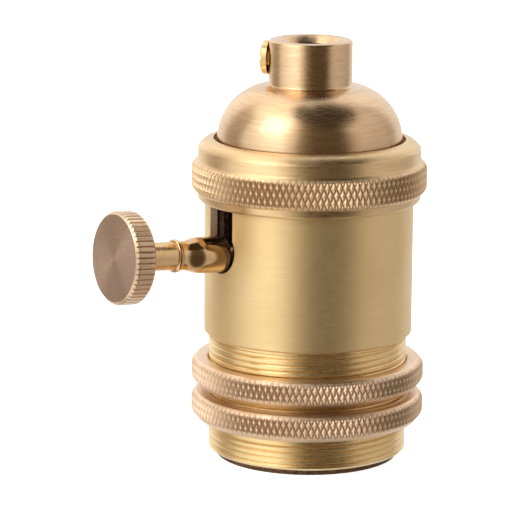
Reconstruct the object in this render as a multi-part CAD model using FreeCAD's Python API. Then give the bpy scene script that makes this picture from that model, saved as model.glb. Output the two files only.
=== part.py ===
import FreeCAD, Part
import math
import os

# Brass lamp holder for a screw-in bulb, with a turn-knob switch and two knurled shade rings.
# Millimetres. Z is the axis of the holder, which stands on the rim of its insulating liner at
# Z = 0 with the cord entry on top. The switch knob points along -Y.

Vector = FreeCAD.Vector
UP = Vector(0, 0, 1)
ORIGIN = Vector(0, 0, 0)

# ---- clearances
turning_play = 0.05          # radial, shaft in bearing and spigot in bore
thread_play = 0.07           # radial, between mating threads, which are modelled plain
hole_play = 0.1              # radial, screw or rivet in a through hole
drop_in_play = 0.2           # round moulded pieces that drop into a bore
contact_gap = 0.2            # between a switch contact and the blade that wipes it
seat_gap = 0.05              # under a clamping lip

# ---- body: plain sleeve above, threaded skirt below, turned in one piece
sleeve_r = 20.0
sleeve_wall = 1.5
sleeve_length = 28.25
sleeve_bevel = 0.45
rim_thread_step = 0.4        # from the sleeve in to the tips of the rim's thread
rim_thread_length = 6.7
relief_depth = 0.25          # of the undercut below the tips of the skirt's thread
relief_length = 0.65
skirt_step = 0.95            # from the sleeve in to the tips of the skirt's thread
skirt_wall = 1.55
skirt_length = 22.2
skirt_bevel = 0.45
bore_step_rise = 2.6         # from the top of the skirt thread to the step in the bore
keyhole_width = 8.0
keyhole_r = 4.6
keyhole_lift = 0.85          # of the round hole's centre over the spindle

# ---- insulating liner, which shows below the skirt
liner_drop = 1.2
liner_wall = 1.2
liner_top_gap = 3.0          # below the rim of the sleeve
liner_play = 0.4             # round the wide upper part, which is a loose fit
liner_slot_width = 3.4

# ---- retaining ring
ring_wall = 1.3              # from the outside of the sleeve to the outside of the collar
ring_knurl_rise = 1.2        # of the knurl's tips over the collar
ring_lip = 2.95              # from the collar in to the mouth
ring_overlap = 9.0           # how far it reaches down past the rim of the sleeve
ring_foot_length = 1.8
ring_band_length = 5.6
ring_collar_length = 2.67
ring_crown_rise = 1.73
ring_crown_bulge = 0.42      # of the crown's arc outside its chord

# ---- knurls
knurl_pitch = 1.178
knurl_depth = 0.5
knurl_run_out = 0.2          # plain land between the root of a knurl and its bevel
band_bevel = 0.5

# ---- shade rings
shade_ring_wall = 3.35       # from the skirt thread to the tips of the knurl
shade_ring_length = 5.1
shade_band_length = 4.1
shade_band_rise = 0.7        # from the ring's lower face to its knurl
shade_ring_bevel = 0.3
lower_ring_rise = 6.2        # from the end of the skirt to the lower ring
ring_spacing = 6.6           # from one shade ring to the next

# ---- cap
dome_gap = 0.65              # between the dome and the mouth of the retaining ring
dome_arc_r = 10.6
dome_wall = 1.6
dome_spring_rise = 2.5       # from the rim of the sleeve to the start of the dome's curve
flange_play = 0.4            # between the flange and the tips of the rim's thread
flange_thickness = 1.15
spigot_length = 1.2
ceiling_thickness = 2.46
neck_r = 7.95
neck_length = 8.6
neck_fillet = 0.5
neck_bevel = 0.3
cord_bore_r = 4.5
cord_mouth_r = 5.83

# ---- grip screw in the neck
grip_screw_r = 2.0
grip_head_r = 3.25
grip_head_height = 1.9
grip_screw_drop = 3.7        # below the top of the neck
grip_screw_angle = 45.0      # round from the knob, towards -X

# ---- porcelain base of the lamp contacts
base_rise = 0.6              # from the top of the skirt thread to the underside of the base
base_skirt_play = 0.3
base_height = 7.0
base_recess_r = 7.0
base_recess_depth = 1.2
base_edge = 0.5

# ---- screw shell
shell_thread_r = 12.25
shell_neck_r = 11.9
shell_wall = 0.4
shell_mouth_r = 13.2
shell_mouth_rise = 3.0
shell_flare_length = 1.4
shell_thread_length = 14.5
shell_shoulder_length = 0.7
shell_web_hole_r = 7.5

# ---- centre contact, its rivet and the strap on top of the base
leaf_thickness = 0.5
leaf_width = 6.0
leaf_fold_x = 4.6
leaf_base_x = -4.5
leaf_tip_x = 0.5
leaf_end_x = -2.5
leaf_fold_drop = 1.6
leaf_tip_drop = 5.2
leaf_end_drop = 4.3
rivet_r = 1.5
rivet_head_r = 2.2
rivet_head_height = 0.8
strap_thickness = 0.5
strap_width = 5.6
strap_start_x = -2.6
strap_bend_x = 4.6
strap_end_x = -1.2

# ---- switch housing and its cover
housing_play = 0.3
housing_headroom = 10.3      # from the spindle to the underside of the cover
housing_disc_height = 3.0
housing_flat_x = 11.5
pocket_half_x = 6.0
pocket_half_y = 6.5
pocket_corner = 1.0
cover_thickness = 2.0
recess_height = 1.6
housing_screw_r = 1.4
housing_screw_x = 8.8
housing_screw_y = 5.0
screw_tip = 0.4              # how far the housing screws pass through the shell's web
screw_head_height = 1.8
housing_screw_head_r = 2.5

# ---- terminals
terminal_thickness = 0.7
terminal_width = 5.0
terminal_rise = 17.0         # top of the terminals above the underside of the housing
terminal_screw_rise = 14.0
terminal_screw_r = 1.5
terminal_head_r = 2.9
terminal_screw_length = 4.1

# ---- switch spindle, measured along its own axis from the axis of the holder
spindle_rise = 8.7           # from the underside of the housing to where the two axes cross
spindle_tilt = 4.1           # degrees that the spindle rises towards the knob
spindle_r = 1.5
spindle_rear = 11.5
spindle_flat = 1.1
spindle_in_knob = 10.6
bearing_depth = 0.3          # air behind the spindle's rear end
bush_r = 3.0
bush_start = 6.8
bush_end = 16.2
clip_r = 2.8
clip_groove_r = 1.2
clip_start = 5.3
clip_thickness = 0.6
clip_mouth = 2.2

# ---- rotor, its contact blades and the detent spring
rotor_r = 4.5
rotor_half_length = 5.0
blade_root_r = 4.2
blade_r = 5.0
blade_half_width = 1.5
blade_span = 110.0
blade_start = 170.0
cam_half_width = 4.1
cam_start = 2.0
cam_end = 4.6
spring_thickness = 0.3
spring_groove_depth = 0.8
spring_lift = 0.6            # of the spring's lowest line over the rotor
spring_bow = 0.9
spring_foot = 1.0

# ---- switch knob, measured from its inner end
knob_start = 19.4            # along the spindle, from the axis of the holder
barrel_r = 3.45
barrel_length = 5.3
barrel_bevel = 0.25
waist_r = 2.75
flare_length = 3.9
bead_r = 3.2
bead_thickness = 1.1
bead_gap = 0.75              # plain waist between the flare and the bead
stem_r = 2.7
stem_length = 8.09
disc_r = 8.72
disc_thickness = 4.3
disc_bevel = 0.38
tooth_count = 52
tooth_depth = 0.42
tooth_land = 0.62            # share of a tooth's pitch that is flat on top

# ---- earth tag and its screw, under the ceiling of the cap
earth_y = 8.0
earth_screw_r = 1.5
earth_screw_depth = 1.8
earth_head_r = 2.5
tag_thickness = 0.6
tag_width = 4.4
tag_back_x = -2.6
tag_bend_x = 3.2
tag_tail_x = 5.8
tag_tail_drop = 2.6

# ---- screw heads
crown_share = 0.45           # of a head's height that is domed
slot_width = 0.9
slot_depth = 0.9

# ---- radii that follow from the sizes above
sleeve_bore_r = sleeve_r - sleeve_wall
rim_thread_r = sleeve_r - rim_thread_step
skirt_r = sleeve_r - skirt_step
relief_r = skirt_r - relief_depth
ring_r = sleeve_r + ring_wall
ring_knurl_r = ring_r + ring_knurl_rise
ring_mouth_r = ring_r - ring_lip
dome_r = ring_mouth_r - dome_gap
flange_r = rim_thread_r - flange_play
shade_ring_r = skirt_r + shade_ring_wall
skirt_bore_r = skirt_r - skirt_wall
liner_skirt_r = skirt_bore_r - hole_play
liner_r = sleeve_bore_r - liner_play
liner_bore_r = liner_r - liner_wall
liner_skirt_bore_r = liner_skirt_r - liner_wall
housing_r = liner_bore_r - housing_play

# ---- places along the axis that follow from them
skirt_z = liner_drop
relief_z = skirt_z + skirt_length
sleeve_z = relief_z + relief_length
shoulder_z = sleeve_z + sleeve_length
rim_z = shoulder_z + rim_thread_length
bore_step_z = relief_z + bore_step_rise
liner_seat_z = bore_step_z + liner_wall
base_z = relief_z + base_rise
base_top_z = base_z + base_height
spindle_height = base_top_z + spindle_rise
cover_z = spindle_height + housing_headroom
cover_top_z = cover_z + cover_thickness
flange_top_z = rim_z + flange_thickness
spring_z = rim_z + dome_spring_rise

dome_arc_x = dome_r - dome_arc_r
neck_root_z = spring_z + math.sqrt(dome_arc_r ** 2 - (neck_r + neck_fillet - dome_arc_x) ** 2)
neck_top_z = neck_root_z + neck_length
ceiling_z = neck_root_z - ceiling_thickness

load_contact_z = spindle_height - blade_r - contact_gap - strap_thickness / 2
pocket_floor_z = load_contact_z - strap_thickness / 2 - seat_gap
spindle_axis = Vector(0, -math.cos(math.radians(spindle_tilt)), math.sin(math.radians(spindle_tilt)))
spindle_frame = FreeCAD.Placement(
    Vector(0, 0, spindle_height), FreeCAD.Rotation(Vector(1, 0, 0), 90 - spindle_tilt)
)


# ---- shared operations

def cylinder(radius, low, high, x=0.0, y=0.0):
    return Part.makeCylinder(radius, high - low, Vector(x, y, low))


def block(x0, x1, y0, y1, z0, z1):
    return Part.makeBox(x1 - x0, y1 - y0, z1 - z0, Vector(x0, y0, z0))


def arc_point(centre_r, centre_z, radius, degrees):
    angle = math.radians(degrees)
    return (centre_r + radius * math.cos(angle), centre_z + radius * math.sin(angle))


def outline(points):
    # edges in the XZ plane; a point of four numbers is reached by an arc through its first two
    edges = []
    here = points[0]
    for point in points[1:]:
        start = Vector(here[-2], 0, here[-1])
        end = Vector(point[-2], 0, point[-1])
        if len(point) == 4:
            edges.append(Part.Arc(start, Vector(point[0], 0, point[1]), end).toShape())
        else:
            edges.append(Part.LineSegment(start, end).toShape())
        here = point
    return edges


def turned(points):
    # a closed section of radius and height, revolved about the axis
    face = Part.Face(Part.Wire(outline(points + points[:1])))
    return face.revolve(ORIGIN, UP, 360)


def bent_strip(path, thickness, width, y=0.0):
    # a strip of sheet metal that follows a path of x and z along its middle
    sides = ([], [])
    for i, (x, z) in enumerate(path):
        before = path[i - 1] if i else None
        after = path[i + 1] if i + 1 < len(path) else None
        normals = []
        for a, b in ((before, (x, z)), ((x, z), after)):
            if a and b:
                length = math.hypot(b[0] - a[0], b[1] - a[1])
                normals.append(((a[1] - b[1]) / length, (b[0] - a[0]) / length))
        nx = sum(n[0] for n in normals) / len(normals)
        nz = sum(n[1] for n in normals) / len(normals)
        reach = thickness / 2 / (nx * nx + nz * nz)
        sides[0].append(Vector(x + nx * reach, y - width / 2, z + nz * reach))
        sides[1].append(Vector(x - nx * reach, y - width / 2, z - nz * reach))
    loop = sides[0] + sides[1][::-1]
    face = Part.Face(Part.makePolygon(loop + loop[:1]))
    return face.extrude(Vector(0, width, 0))


def crown_mid(radius, crown):
    # radius and height, over its rim, of the point half way up a spherical crown
    ball_r = (radius ** 2 + crown ** 2) / (2 * crown)
    half_angle = math.asin(radius / ball_r) / 2
    return ball_r * math.sin(half_angle), crown - ball_r * (1 - math.cos(half_angle))


def slotted_screw(shank_r, shank_length, head_r, head_height):
    # round-head screw along +Z, its head standing on Z = 0
    crown = head_height * crown_share
    rim = head_height - crown
    mid_r, mid_rise = crown_mid(head_r, crown)
    head = turned([(0, 0), (head_r, 0), (head_r, rim), (mid_r, rim + mid_rise, 0, head_height)])
    screw = head.fuse(cylinder(shank_r, -shank_length, head_height / 2)).removeSplitter()
    slot = block(-head_r, head_r, -slot_width / 2, slot_width / 2, head_height - slot_depth, head_height)
    return screw.cut(slot)


def aimed(shape, base, direction):
    # turns a shape made along +Z to a direction and carries it to its base point
    result = shape.copy()
    result.Placement = FreeCAD.Placement(base, FreeCAD.Rotation(UP, direction))
    return result


def along_spindle(shape):
    # carries a shape from the spindle's own frame, where +Z points out to the knob
    result = shape.copy()
    result.Placement = spindle_frame
    return result


def knurled(points, low, high, tip_r, rows):
    # a turned ring whose open profile is closed by a band of diamond knurls from low to high
    count = round(2 * math.pi * tip_r / knurl_pitch)
    columns = 2 * count
    row = (high - low) / rows
    levels = [low] + [low + row * (k + 0.5) for k in range(rows)] + [high]
    root_r = tip_r - knurl_depth
    grid = []
    for k, z in enumerate(levels):
        at_end = k in (0, rows + 1)
        line = []
        for j in range(columns):
            radius = root_r if at_end or (j + k) % 2 else tip_r
            angle = 2 * math.pi * j / columns
            line.append(Vector(radius * math.cos(angle), radius * math.sin(angle), z))
        grid.append(line)
    faces = []
    for k in range(rows + 1):
        for j in range(columns):
            n = (j + 1) % columns
            a, b, c, d = grid[k][j], grid[k][n], grid[k + 1][n], grid[k + 1][j]
            halves = ((a, b, c), (a, c, d)) if (j + k) % 2 else ((a, b, d), (b, c, d))
            faces += [Part.Face(Part.makePolygon([*half, half[0]])) for half in halves]
    for line, (radius, z) in ((grid[0], points[-1]), (grid[-1], points[0])):
        edge = Part.makePolygon(line + line[:1])
        inner = Part.Wire(Part.makeCircle(radius, Vector(0, 0, z)))
        faces.append(Part.makeFace([edge, inner], "Part::FaceMakerBullseye"))
    faces += Part.Wire(outline(points)).revolve(ORIGIN, UP, 360).Faces
    shell = Part.Compound(faces)
    shell.sewShape(1e-5)
    return Part.Solid(shell.Shells[0])


# ---- shell and rings

def body_sleeve():
    body = turned([
        (skirt_r - skirt_bevel, skirt_z), (skirt_r, skirt_z + skirt_bevel),
        (skirt_r, relief_z), (relief_r, relief_z),
        (relief_r, sleeve_z), (sleeve_r - sleeve_bevel, sleeve_z),
        (sleeve_r, sleeve_z + sleeve_bevel), (sleeve_r, shoulder_z),
        (rim_thread_r, shoulder_z), (rim_thread_r, rim_z),
        (sleeve_bore_r, rim_z), (sleeve_bore_r, bore_step_z),
        (skirt_bore_r, bore_step_z), (skirt_bore_r, skirt_z),
    ])
    height = spindle_height + sleeve_r * math.tan(math.radians(spindle_tilt)) + keyhole_lift
    hole = aimed(
        Part.makeCylinder(keyhole_r, sleeve_r), Vector(0, -sleeve_r / 2, height), Vector(0, -1, 0)
    )
    slot = block(-keyhole_width / 2, keyhole_width / 2, -sleeve_r - 1, -sleeve_r / 2, height, rim_z + 1)
    return body.cut(hole.fuse(slot))


def retaining_ring():
    low = rim_z - ring_overlap
    band_low = low + ring_foot_length
    band_high = band_low + ring_band_length
    corner_z = band_high + ring_collar_length
    mouth_z = corner_z + ring_crown_rise
    land_r = ring_knurl_r - knurl_depth - knurl_run_out
    bevel = band_bevel
    run = ring_r - ring_mouth_r
    chord = math.hypot(run, ring_crown_rise)
    crown_r = (ring_r + ring_mouth_r) / 2 + ring_crown_bulge * ring_crown_rise / chord
    crown_z = (corner_z + mouth_z) / 2 + ring_crown_bulge * run / chord
    bore_r = rim_thread_r + thread_play
    foot_bore_r = sleeve_r + thread_play
    foot_bevel = (ring_r - foot_bore_r) / 3
    return knurled([
        (land_r, band_high), (ring_r, band_high + bevel), (ring_r, corner_z),
        (crown_r, crown_z, ring_mouth_r, mouth_z),
        (ring_mouth_r, flange_top_z + seat_gap), (bore_r, flange_top_z + seat_gap),
        (bore_r, shoulder_z + bevel), (foot_bore_r, shoulder_z + bevel),
        (foot_bore_r, low), (ring_r - foot_bevel, low),
        (ring_r, low + foot_bevel), (ring_r, band_low - bevel / 2), (land_r, band_low),
    ], band_low, band_high, ring_knurl_r, 4)


def shade_ring(low):
    high = low + shade_ring_length
    band_low = low + shade_band_rise
    band_high = band_low + shade_band_length
    land_r = shade_ring_r - knurl_depth - knurl_run_out
    bore_r = skirt_r + thread_play
    return knurled([
        (land_r, band_high), (land_r - shade_ring_bevel, high),
        (bore_r + shade_ring_bevel, high), (bore_r, high - shade_ring_bevel),
        (bore_r, low + shade_ring_bevel), (bore_r + shade_ring_bevel, low),
        (land_r - band_bevel, low), (land_r, band_low),
    ], band_low, band_high, shade_ring_r, 3)


def insulating_liner():
    top = rim_z - liner_top_gap
    liner = turned([
        (liner_skirt_r, 0), (liner_skirt_r, bore_step_z), (liner_r, bore_step_z), (liner_r, top),
        (liner_bore_r, top), (liner_bore_r, liner_seat_z),
        (liner_skirt_bore_r, liner_seat_z), (liner_skirt_bore_r, 0),
    ])
    height = spindle_height + liner_r * math.tan(math.radians(spindle_tilt))
    half = liner_slot_width / 2
    end = aimed(Part.makeCylinder(half, liner_r), Vector(0, -liner_r / 2, height), Vector(0, -1, 0))
    slot = block(-half, half, -liner_r - 1, -liner_r / 2, height, top + 1)
    return liner.cut(end.fuse(slot))


# ---- cap

def cap_dome():
    inner_r = dome_arc_r - dome_wall
    ceiling_angle = math.degrees(math.asin((ceiling_z - spring_z) / inner_r))
    outer_angle = math.degrees(math.acos((neck_r + neck_fillet - dome_arc_x) / dome_arc_r))
    fillet_mid = arc_point(neck_r + neck_fillet, neck_root_z + neck_fillet, neck_fillet, 225)
    mouth_depth = cord_mouth_r - cord_bore_r
    cap = turned([
        (flange_r, rim_z), (flange_r, flange_top_z), (dome_r, flange_top_z), (dome_r, spring_z),
        (*arc_point(dome_arc_x, spring_z, dome_arc_r, outer_angle / 2), neck_r + neck_fillet, neck_root_z),
        (*fillet_mid, neck_r, neck_root_z + neck_fillet),
        (neck_r, neck_top_z - neck_bevel), (neck_r - neck_bevel, neck_top_z),
        (cord_mouth_r, neck_top_z), (cord_bore_r, neck_top_z - mouth_depth),
        (cord_bore_r, ceiling_z), arc_point(dome_arc_x, spring_z, inner_r, ceiling_angle),
        (*arc_point(dome_arc_x, spring_z, inner_r, ceiling_angle / 2), dome_r - dome_wall, spring_z),
        (dome_r - dome_wall, rim_z - spigot_length),
        (sleeve_bore_r - drop_in_play, rim_z - spigot_length), (sleeve_bore_r - drop_in_play, rim_z),
    ])
    grip_hole = aimed(
        Part.makeCylinder(grip_screw_r + thread_play, neck_r * 2), grip_screw_base(0), grip_direction()
    )
    earth_hole = cylinder(earth_screw_r + thread_play, ceiling_z, ceiling_z + earth_screw_depth, 0, earth_y)
    return cap.cut(grip_hole).cut(earth_hole)


def grip_direction():
    angle = math.radians(grip_screw_angle)
    return Vector(-math.sin(angle), -math.cos(angle), 0)


def grip_screw_base(radius):
    return grip_direction() * radius + Vector(0, 0, neck_top_z - grip_screw_drop)


def grip_screw():
    shank = neck_r - cord_bore_r - hole_play
    screw = slotted_screw(grip_screw_r, shank, grip_head_r, grip_head_height)
    return aimed(screw, grip_screw_base(neck_r + seat_gap), grip_direction())


def earth_tag():
    z = ceiling_z - tag_thickness / 2
    tag = bent_strip(
        [(tag_back_x, z), (tag_bend_x, z), (tag_tail_x, z - tag_tail_drop)],
        tag_thickness, tag_width, earth_y,
    )
    return tag.cut(cylinder(earth_screw_r + hole_play, z - 1, z + 1, 0, earth_y))


def earth_screw():
    length = tag_thickness + earth_screw_depth - hole_play
    screw = slotted_screw(earth_screw_r, length, earth_head_r, screw_head_height)
    return aimed(screw, Vector(0, earth_y, ceiling_z - tag_thickness), Vector(0, 0, -1))


# ---- lamp contacts

def housing_screw_places():
    return ((housing_screw_x, housing_screw_y), (-housing_screw_x, -housing_screw_y))


def without_screw_holes(shape, low, high):
    for x, y in housing_screw_places():
        shape = shape.cut(cylinder(housing_screw_r + hole_play, low, high, x, y))
    return shape


def contact_base():
    flange_r_here = liner_bore_r - drop_in_play
    lower_r = liner_skirt_bore_r - base_skirt_play
    base = turned([
        (base_recess_r, base_z), (lower_r - base_edge, base_z), (lower_r, base_z + base_edge),
        (lower_r, liner_seat_z), (flange_r_here, liner_seat_z),
        (flange_r_here, base_top_z - base_edge), (flange_r_here - base_edge, base_top_z),
        (0, base_top_z), (0, base_z + base_recess_depth), (base_recess_r, base_z + base_recess_depth),
    ])
    base = base.cut(cylinder(rivet_r + hole_play, base_z, base_top_z))
    return without_screw_holes(base.cut(neutral_passage(base_z, base_top_z)), base_z, base_top_z)


def screw_shell():
    mouth_z = shell_mouth_rise
    thread_z = mouth_z + shell_flare_length
    shoulder = thread_z + shell_thread_length
    neck = shoulder + shell_shoulder_length
    web = base_z - shell_wall
    wall = shell_wall
    shell = turned([
        (shell_mouth_r, mouth_z), (shell_thread_r, thread_z), (shell_thread_r, shoulder),
        (shell_neck_r, neck), (shell_neck_r, web), (shell_web_hole_r, web),
        (shell_web_hole_r, base_z), (shell_neck_r + wall, base_z), (shell_neck_r + wall, neck),
        (shell_thread_r + wall, shoulder), (shell_thread_r + wall, thread_z),
        (shell_mouth_r + wall, mouth_z),
    ])
    return without_screw_holes(shell, web, base_z)


def center_contact():
    top = base_z + base_recess_depth - leaf_thickness / 2
    leaf = bent_strip([
        (leaf_base_x, top), (leaf_fold_x - leaf_fold_drop, top), (leaf_fold_x, top - leaf_fold_drop),
        (leaf_tip_x, top - leaf_tip_drop), (leaf_end_x, top - leaf_end_drop),
    ], leaf_thickness, leaf_width)
    return leaf.cut(cylinder(rivet_r + hole_play, top - 1, top + 1))


def center_rivet():
    low = base_z + base_recess_depth - leaf_thickness
    high = base_top_z + strap_thickness
    crown = rivet_head_height
    mid_r, mid_rise = crown_mid(rivet_head_r, crown)
    return turned([
        (0, low - crown), (mid_r, low - mid_rise, rivet_head_r, low),
        (rivet_r, low), (rivet_r, high), (rivet_head_r, high),
        (mid_r, high + mid_rise, 0, high + crown),
    ])


def load_contact():
    base = base_top_z + strap_thickness / 2
    strap = bent_strip([
        (strap_start_x, base), (strap_bend_x, base),
        (strap_bend_x, load_contact_z), (strap_end_x, load_contact_z),
    ], strap_thickness, strap_width)
    return strap.cut(cylinder(rivet_r + hole_play, base - 1, base + 1))


# ---- switch housing

def housing_plan(low, high):
    flats = block(-housing_flat_x, housing_flat_x, -housing_r, housing_r, low, high)
    return cylinder(housing_r, low, high).common(flats)


def neutral_passage(low, high):
    half = terminal_width / 2 + hole_play
    inner = housing_flat_x - hole_play
    return block(inner, inner + terminal_thickness + 2 * hole_play, -half, half, low, high)


def spindle_bore(radius, start, end):
    return along_spindle(Part.makeCylinder(radius, end - start, Vector(0, 0, start)))


def switch_housing():
    low = base_top_z
    disc_top = low + housing_disc_height
    housing = housing_plan(disc_top, cover_z).fuse(cylinder(housing_r, low, disc_top))
    pocket = block(-pocket_half_x, pocket_half_x, -pocket_half_y, pocket_half_y,
                   pocket_floor_z, cover_z + 1)
    corners = [e for e in pocket.Edges if abs(e.tangentAt(e.FirstParameter).z) > 0.99]
    housing = housing.cut(pocket.makeFillet(pocket_corner, corners))
    strap_half = strap_width / 2 + hole_play
    recess = block(
        strap_start_x - strap_thickness, strap_bend_x + strap_thickness,
        -strap_half, strap_half, low, low + recess_height,
    )
    rise = block(
        strap_bend_x - strap_thickness, strap_bend_x + strap_thickness,
        -strap_half, strap_half, low, pocket_floor_z,
    )
    housing = housing.cut(recess.fuse(rise)).cut(neutral_passage(low, disc_top))
    housing = housing.cut(spindle_bore(bush_r + turning_play / 2, 0, housing_r + 1))
    housing = housing.cut(spindle_bore(spindle_r + turning_play, -spindle_rear - bearing_depth, 0))
    housing = housing.cut(live_passage()).cut(spring_grooves())
    for side in (-1, 1):
        tip = terminal_screw_length + hole_play
        hole = Part.makeCylinder(terminal_screw_r + thread_play, tip)
        place = Vector(side * housing_flat_x, 0, low + terminal_screw_rise)
        housing = housing.cut(aimed(hole, place, Vector(-side, 0, 0)))
    return without_screw_holes(housing, low, cover_z)


def live_passage():
    half_y = terminal_width / 2 + hole_play
    half_z = terminal_thickness / 2 + hole_play
    return block(-housing_flat_x - 1, -pocket_half_x + 1, -half_y, half_y,
                 spindle_height - half_z, spindle_height + half_z)


def spring_level():
    return spindle_height + rotor_r + spring_lift


def spring_grooves():
    reach = pocket_half_x + spring_groove_depth
    middle = spring_level() + spring_bow
    return block(-reach, reach, -cam_end - hole_play, -cam_start + hole_play,
                 middle - spring_thickness, middle + spring_thickness)


def housing_cover():
    return without_screw_holes(housing_plan(cover_z, cover_top_z), cover_z, cover_top_z)


def housing_screws():
    length = cover_top_z - base_z + shell_wall + screw_tip
    screw = slotted_screw(housing_screw_r, length, housing_screw_head_r, screw_head_height)
    screws = [aimed(screw, Vector(x, y, cover_top_z), UP) for x, y in housing_screw_places()]
    return Part.Compound(screws)


def live_terminal():
    x = -housing_flat_x - terminal_thickness / 2
    top = base_top_z + terminal_rise
    end = -blade_r - contact_gap
    terminal = bent_strip(
        [(x, top), (x, spindle_height), (end, spindle_height)], terminal_thickness, terminal_width
    )
    return terminal.cut(terminal_hole(-1))


def neutral_terminal():
    x = housing_flat_x + terminal_thickness / 2
    top = base_top_z + terminal_rise
    strip = bent_strip([(x, top), (x, base_z)], terminal_thickness, terminal_width)
    return strip.cut(terminal_hole(1))


def terminal_hole(side):
    hole = Part.makeCylinder(terminal_screw_r + hole_play, terminal_thickness * 4)
    start = Vector(side * (housing_flat_x - terminal_thickness), 0, base_top_z + terminal_screw_rise)
    return aimed(hole, start, Vector(side, 0, 0))


def terminal_screw(side):
    length = terminal_screw_length + terminal_thickness
    screw = slotted_screw(terminal_screw_r, length, terminal_head_r, screw_head_height)
    seat = Vector(side * (housing_flat_x + terminal_thickness), 0, base_top_z + terminal_screw_rise)
    return aimed(screw, seat, Vector(side, 0, 0))


def detent_spring():
    low = spring_level()
    high = low + spring_bow
    reach = pocket_half_x + spring_groove_depth - hole_play
    bend = pocket_half_x - spring_foot
    path = [(-reach, high), (-bend, high), (0, low), (bend, high), (reach, high)]
    return bent_strip(path, spring_thickness, cam_end - cam_start, -(cam_start + cam_end) / 2)


# ---- switch spindle and what turns with it

def with_flat(shape, flat, low, high):
    # takes off what lies beyond a flat that runs from low to high along the spindle
    return shape.cut(block(-spindle_r - 1, spindle_r + 1, flat, spindle_r + 1, low, high))


def switch_spindle():
    knob_end = knob_start + spindle_in_knob
    rod = turned([
        (0, -spindle_rear), (spindle_r, -spindle_rear), (spindle_r, clip_start),
        (clip_groove_r, clip_start), (clip_groove_r, clip_start + clip_thickness),
        (spindle_r, clip_start + clip_thickness), (spindle_r, knob_end), (0, knob_end),
    ])
    return along_spindle(with_flat(rod, spindle_flat, -spindle_rear, rotor_half_length))


def spindle_clip():
    low, high = clip_start + hole_play / 2, clip_start + clip_thickness - hole_play / 2
    ring = cylinder(clip_r, low, high).cut(cylinder(clip_groove_r + turning_play, low, high))
    mouth = block(-clip_mouth / 2, clip_mouth / 2, -clip_r, 0, low, high)
    return along_spindle(ring.cut(mouth))


def spindle_bush():
    bush = cylinder(bush_r, bush_start, bush_end)
    return along_spindle(bush.cut(cylinder(spindle_r + turning_play, bush_start, bush_end)))


def switch_rotor():
    half, groove = rotor_half_length, blade_half_width + turning_play
    drum = turned([
        (0, -half), (rotor_r, -half), (rotor_r, -groove), (blade_root_r, -groove),
        (blade_root_r, groove), (rotor_r, groove), (rotor_r, half), (0, half),
    ])
    size = cam_half_width
    collar = cylinder(rotor_r + 1, cam_start, cam_end)
    cam = block(-size, size, -size, size, cam_start, cam_end)
    bore = with_flat(cylinder(spindle_r + turning_play, -half, half), spindle_flat + turning_play, -half, half)
    return along_spindle(drum.cut(collar.cut(cam)).cut(bore))


def contact_blades():
    # two arcs round the rotor; each bridges a quarter turn between the fixed contacts
    blades = []
    for start in (blade_start, blade_start + 180):
        section = Part.Face(Part.Wire(outline([
            (blade_root_r, -blade_half_width), (blade_r, -blade_half_width),
            (blade_r, blade_half_width), (blade_root_r, blade_half_width),
            (blade_root_r, -blade_half_width),
        ])))
        section.rotate(ORIGIN, UP, start)
        blades.append(along_spindle(section.revolve(ORIGIN, UP, blade_span)))
    return Part.Compound(blades)


# ---- knob

def knob_teeth():
    # straight teeth with flat tops and narrow V grooves round the edge of the disc
    root_r = disc_r - tooth_depth
    pitch = 2 * math.pi / tooth_count
    points = []
    for i in range(tooth_count):
        for share, radius in ((0, disc_r), (tooth_land, disc_r), ((1 + tooth_land) / 2, root_r)):
            angle = pitch * (i + share)
            points.append(Vector(radius * math.cos(angle), radius * math.sin(angle), 0))
    return Part.Face(Part.makePolygon(points + points[:1]))


def switch_knob():
    flare_z = knob_start + barrel_length
    waist_z = flare_z + flare_length
    bead_low = waist_z + bead_gap
    bead_high = bead_low + bead_thickness
    disc_low = bead_high + stem_length
    disc_high = disc_low + disc_thickness
    bead_mid = (bead_low + bead_high) / 2
    flare_mid = (flare_z + waist_z) / 2
    swell = (barrel_r - waist_r) / 2
    stem = turned([
        (0, knob_start), (barrel_r - barrel_bevel, knob_start), (barrel_r, knob_start + barrel_bevel),
        (barrel_r, flare_z),
        (barrel_r - swell * 0.28, (flare_z + flare_mid) / 2, barrel_r - swell, flare_mid),
        (waist_r + swell * 0.28, (flare_mid + waist_z) / 2, waist_r, waist_z),
        (waist_r, bead_low), (bead_r, bead_mid, waist_r, bead_high),
        (stem_r, disc_low), (stem_r, disc_high), (0, disc_high),
    ])
    face_r = disc_r - disc_bevel
    wide_r = disc_r + disc_bevel
    envelope = turned([
        (0, disc_low), (face_r, disc_low), (wide_r, disc_low + 2 * disc_bevel),
        (wide_r, disc_high - 2 * disc_bevel), (face_r, disc_high), (0, disc_high),
    ])
    disc = knob_teeth().extrude(Vector(0, 0, disc_thickness))
    disc.translate(Vector(0, 0, disc_low))
    knob = stem.fuse(disc.common(envelope)).removeSplitter()
    socket = cylinder(spindle_r + turning_play, knob_start, knob_start + spindle_in_knob + hole_play)
    return along_spindle(knob.cut(socket))


# ---- every piece, one file each

lower_ring_z = skirt_z + lower_ring_rise
lower_shade_ring = shade_ring(lower_ring_z)
upper_shade_ring = lower_shade_ring.translated(Vector(0, 0, ring_spacing))

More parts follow.
